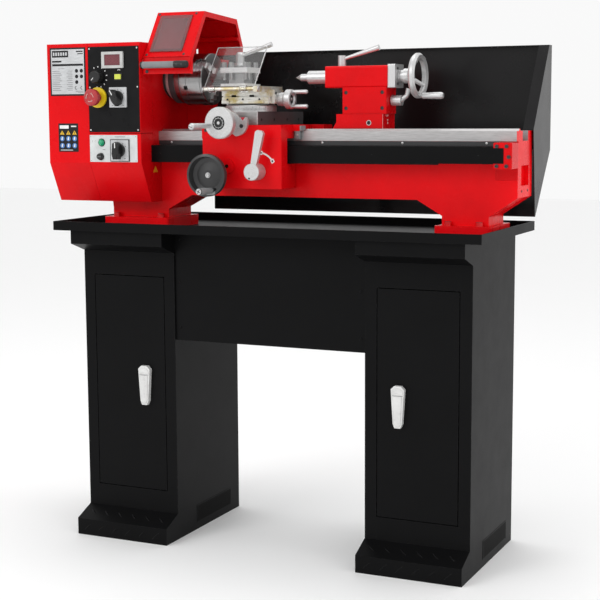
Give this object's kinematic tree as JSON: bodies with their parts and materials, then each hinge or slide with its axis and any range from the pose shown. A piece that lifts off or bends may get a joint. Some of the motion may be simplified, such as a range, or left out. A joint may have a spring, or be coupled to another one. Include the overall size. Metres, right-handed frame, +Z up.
{
  "type": "metal lathe",
  "caption": "Bench metal lathe on a two-cabinet stand with chip tray, splash guard, chuck with hinged guard, carriage with cross and top slides, and tailstock.",
  "frame": {"origin": "on the floor under the middle of the machine's bounding box", "axes": "+X from headstock to tailstock, +Y from the operator to the back, +Z up"},
  "size_m": [1.171, 0.4725, 1.286],
  "materials": {
    "red_paint": "glossy red paint on cast iron and sheet",
    "black_stand": "semi-gloss black powder coat",
    "black_guard": "glossy black paint on sheet",
    "light_latch": "satin die-cast",
    "ground_steel": "ground",
    "bright_steel": "turned and polished",
    "oiled_steel": "ground, oiled",
    "dark_steel": "black oxide",
    "satin_wheel": "satin",
    "black_plastic": "matt black",
    "grey_plastic": "matt grey",
    "panel_sheet": "satin printed panel",
    "indicator_plastic": "gloss white, green and black pieces",
    "button_green": "yellow-green",
    "bezel_plastic": "yellow collar, grey switch plates",
    "red_plastic": "red mushroom cap",
    "clear_plastic": "clear sheet with bright edges",
    "rubber": "black rubber belt",
    "cast_alloy": "as cast"
  },
  "bodies": {
    "machine_frame": {"cabinet_left": "black_stand", "cabinet_right": "black_stand", "skirt_panel": "black_stand", "chip_tray": "black_stand", "splash_guard": "black_guard", "bed": "red_paint", "gear_rack": "dark_steel", "leadscrew_cover": "black_guard", "leadscrew_bracket": "red_paint", "socket_screws": "dark_steel", "headstock": "red_paint", "electrical_boxes": "red_paint", "control_panels": "panel_sheet", "panel_indicators": "indicator_plastic", "control_bezels": "bezel_plastic", "motor_housing": "red_paint", "motor": "cast_alloy", "spindle_bearings": "bright_steel", "drive_belt": "rubber"},
    "door_left": {"door_left": "black_stand"},
    "door_right": {"door_right": "black_stand"},
    "latch_left": {"latch_left": "light_latch"},
    "latch_right": {"latch_right": "light_latch"},
    "end_cover": {"end_cover": "red_paint"},
    "spindle": {"spindle": "bright_steel", "spindle_pulley": "cast_alloy", "chuck_body": "bright_steel"},
    "chuck_jaw_1": {"chuck_jaw_1": "bright_steel"},
    "chuck_jaw_2": {"chuck_jaw_2": "bright_steel"},
    "chuck_jaw_3": {"chuck_jaw_3": "bright_steel"},
    "stud_gear": {"stud_gear": "cast_alloy"},
    "leadscrew": {"leadscrew": "bright_steel"},
    "motor_rotor": {"motor_pulley": "cast_alloy"},
    "speed_knob": {"speed_knob": "black_plastic"},
    "estop_button": {"estop_button": "red_plastic"},
    "panel_button": {"panel_button": "button_green"},
    "direction_knob": {"direction_knob": "black_plastic"},
    "power_knob": {"power_knob": "black_plastic"},
    "chuck_guard": {"chuck_guard": "red_paint", "chuck_guard_window": "clear_plastic"},
    "carriage": {"saddle": "red_paint", "apron": "red_paint"},
    "rack_gear": {"rack_gear": "dark_steel"},
    "apron_handwheel": {"apron_handwheel": "black_plastic"},
    "half_nut_lever": {"half_nut_lever": "satin_wheel"},
    "half_nut": {"half_nut": "cast_alloy"},
    "cross_slide": {"cross_slide": "ground_steel"},
    "cross_slide_handwheel": {"cross_slide_handwheel": "satin_wheel"},
    "swivel_base": {"swivel_base": "ground_steel"},
    "compound_slide": {"compound_slide": "oiled_steel"},
    "compound_handwheel": {"compound_handwheel": "satin_wheel"},
    "tool_post": {"tool_post": "bright_steel"},
    "tool_post_lever": {"tool_post_lever": "satin_wheel"},
    "tool_guard": {"tool_guard": "clear_plastic"},
    "tailstock": {"tailstock_body": "red_paint", "tailstock_end_cap": "satin_wheel"},
    "tailstock_quill": {"tailstock_quill": "bright_steel"},
    "tailstock_handwheel": {"tailstock_handwheel": "satin_wheel"},
    "quill_lock_lever": {"quill_lock_lever": "satin_wheel"},
    "tailstock_clamp_lever": {"tailstock_clamp_lever": "satin_wheel"}
  },
  "joints": [
    {"name": "door_left_hinge", "type": "hinge", "parent": "machine_frame", "child": "door_left", "pos_m": [-0.4645, -0.1015, 0.385], "axis": [0, 0, 1], "range_deg": [-95, 0]},
    {"name": "door_right_hinge", "type": "hinge", "parent": "machine_frame", "child": "door_right", "pos_m": [0.4645, -0.1015, 0.385], "axis": [0, 0, 1], "range_deg": [0, 95]},
    {"name": "latch_left_turn", "type": "hinge", "parent": "door_left", "child": "latch_left", "pos_m": [-0.3315, -0.1095, 0.415], "axis": [0, 1, 0], "range_deg": [-90, 0]},
    {"name": "latch_right_turn", "type": "hinge", "parent": "door_right", "child": "latch_right", "pos_m": [0.3315, -0.1095, 0.415], "axis": [0, 1, 0], "range_deg": [0, 90]},
    {"name": "end_cover_hinge", "type": "hinge", "parent": "machine_frame", "child": "end_cover", "pos_m": [-0.4705, 0.2225, 1.005], "axis": [0, 0, 1], "range_deg": [-90, 0]},
    {"name": "spindle_turn", "type": "hinge", "parent": "machine_frame", "child": "spindle", "pos_m": [-0.39, 0.028, 1.1265], "axis": [1, 0, 0], "continuous": true},
    {"name": "motor_turn", "type": "hinge", "parent": "machine_frame", "child": "motor_rotor", "pos_m": [-0.47, 0.1615, 0.96], "axis": [1, 0, 0], "continuous": true},
    {"name": "stud_gear_turn", "type": "hinge", "parent": "machine_frame", "child": "stud_gear", "pos_m": [-0.55, -0.01574, 1.05391], "axis": [1, 0, 0], "continuous": true},
    {"name": "leadscrew_turn", "type": "hinge", "parent": "machine_frame", "child": "leadscrew", "pos_m": [0, -0.052, 0.949], "axis": [1, 0, 0], "continuous": true},
    {"name": "jaw_1_slide", "type": "slide", "parent": "spindle", "child": "chuck_jaw_1", "axis": [0, 0.9397, 0.342], "range_m": [-0.012, 0.007]},
    {"name": "jaw_2_slide", "type": "slide", "parent": "spindle", "child": "chuck_jaw_2", "axis": [0, -0.766, 0.6428], "range_m": [-0.012, 0.007]},
    {"name": "jaw_3_slide", "type": "slide", "parent": "spindle", "child": "chuck_jaw_3", "axis": [0, -0.1736, -0.9848], "range_m": [-0.012, 0.007]},
    {"name": "chuck_guard_hinge", "type": "hinge", "parent": "machine_frame", "child": "chuck_guard", "pos_m": [-0.26, 0.143, 1.228], "axis": [1, 0, 0], "range_deg": [-90, 0]},
    {"name": "speed_knob_turn", "type": "hinge", "parent": "machine_frame", "child": "speed_knob", "pos_m": [-0.441, -0.127, 1.132], "axis": [0, 1, 0], "range_deg": [0, 270]},
    {"name": "estop_push", "type": "slide", "parent": "machine_frame", "child": "estop_button", "axis": [0, 1, 0], "range_m": [0, 0.005]},
    {"name": "panel_button_push", "type": "slide", "parent": "machine_frame", "child": "panel_button", "axis": [0, 1, 0], "range_m": [0, 0.003], "stiffness_N_per_m": 600, "springref_m": -0.0005},
    {"name": "direction_knob_turn", "type": "hinge", "parent": "machine_frame", "child": "direction_knob", "pos_m": [-0.385, -0.132, 1.083], "axis": [0, 1, 0], "range_deg": [0, 60]},
    {"name": "power_knob_turn", "type": "hinge", "parent": "machine_frame", "child": "power_knob", "pos_m": [-0.383, -0.132, 0.956], "axis": [0, 1, 0], "range_deg": [0, 90]},
    {"name": "apron_handwheel_turn", "type": "hinge", "parent": "carriage", "child": "apron_handwheel", "pos_m": [-0.127, -0.122, 0.901], "axis": [0, 1, 0], "range_deg": [-88, 250]},
    {"name": "carriage_slide", "type": "slide", "parent": "machine_frame", "child": "carriage", "axis": [1, 0, 0], "range_m": [-0.014, 0.04]},
    {"name": "rack_gear_turn", "type": "hinge", "parent": "carriage", "child": "rack_gear", "pos_m": [-0.097, -0.072, 0.921], "axis": [0, 1, 0], "range_deg": [-60, 20]},
    {"name": "half_nut_lever_turn", "type": "hinge", "parent": "carriage", "child": "half_nut_lever", "pos_m": [-0.0174, -0.122, 0.909], "axis": [0, 1, 0], "range_deg": [0, 45]},
    {"name": "half_nut_slide", "type": "slide", "parent": "carriage", "child": "half_nut", "axis": [0, 0, 1], "range_m": [0, 0.0056]},
    {"name": "cross_handwheel_turn", "type": "hinge", "parent": "carriage", "child": "cross_slide_handwheel", "pos_m": [-0.088, -0.142, 1.0215], "axis": [0, 1, 0], "range_deg": [-3240, 9000]},
    {"name": "cross_slide_travel", "type": "slide", "parent": "carriage", "child": "cross_slide", "axis": [0, 1, 0], "range_m": [-0.018, 0.05]},
    {"name": "swivel_turn", "type": "hinge", "parent": "cross_slide", "child": "swivel_base", "pos_m": [-0.093, 0.004, 1.055], "axis": [0, 0, 1], "range_deg": [-15, 60]},
    {"name": "compound_slide_travel", "type": "slide", "parent": "swivel_base", "child": "compound_slide", "axis": [1, 0, 0], "range_m": [-0.01, 0.03]},
    {"name": "compound_handwheel_turn", "type": "hinge", "parent": "compound_slide", "child": "compound_handwheel", "pos_m": [0, 0.004, 1.076], "axis": [1, 0, 0], "range_deg": [-1800, 5400]},
    {"name": "tool_post_turn", "type": "hinge", "parent": "compound_slide", "child": "tool_post", "pos_m": [-0.124, 0.01, 1.13], "axis": [0, 0, 1], "continuous": true},
    {"name": "tool_post_lever_turn", "type": "hinge", "parent": "compound_slide", "child": "tool_post_lever", "pos_m": [-0.124, 0.01, 1.17], "axis": [0, 0, 1], "range_deg": [0, 80]},
    {"name": "tool_guard_hinge", "type": "hinge", "parent": "compound_slide", "child": "tool_guard", "pos_m": [-0.105, -0.088, 1.1], "axis": [1, 0, 0], "range_deg": [0, 100]},
    {"name": "tailstock_slide", "type": "slide", "parent": "machine_frame", "child": "tailstock", "axis": [1, 0, 0], "range_m": [-0.038, 0.28]},
    {"name": "tailstock_handwheel_turn", "type": "hinge", "parent": "tailstock", "child": "tailstock_handwheel", "pos_m": [0.3, 0.028, 1.1265], "axis": [1, 0, 0], "range_deg": [-8100, 4500]},
    {"name": "quill_travel", "type": "slide", "parent": "tailstock", "child": "tailstock_quill", "axis": [1, 0, 0], "range_m": [-0.045, 0.025]},
    {"name": "quill_lock_turn", "type": "hinge", "parent": "tailstock", "child": "quill_lock_lever", "pos_m": [0.134, 0.028, 1.16], "axis": [0, 0, 1], "range_deg": [0, 90]},
    {"name": "tailstock_clamp_turn", "type": "hinge", "parent": "tailstock", "child": "tailstock_clamp_lever", "pos_m": [0.27, 0.028, 1.071], "axis": [1, 0, 0], "range_deg": [-60, 0]}
  ],
  "couplings": [
    {"joint": "motor_turn", "follows": "spindle_turn", "ratio": 1.5714},
    {"joint": "stud_gear_turn", "follows": "spindle_turn", "ratio": -0.54795},
    {"joint": "leadscrew_turn", "follows": "spindle_turn", "ratio": 0.53333},
    {"joint": "jaw_2_slide", "follows": "jaw_1_slide", "ratio": 1},
    {"joint": "jaw_3_slide", "follows": "jaw_1_slide", "ratio": 1},
    {"joint": "apron_handwheel_turn", "follows": "carriage_slide", "rad_per_m": 108.7},
    {"joint": "rack_gear_turn", "follows": "carriage_slide", "rad_per_m": -21.739},
    {"joint": "half_nut_slide", "follows": "half_nut_lever_turn", "m_per_rad": 0.007},
    {"joint": "cross_handwheel_turn", "follows": "cross_slide_travel", "rad_per_m": 3141.6},
    {"joint": "compound_handwheel_turn", "follows": "compound_slide_travel", "rad_per_m": 3141.6},
    {"joint": "tailstock_handwheel_turn", "follows": "quill_travel", "rad_per_m": 3141.6}
  ]
}
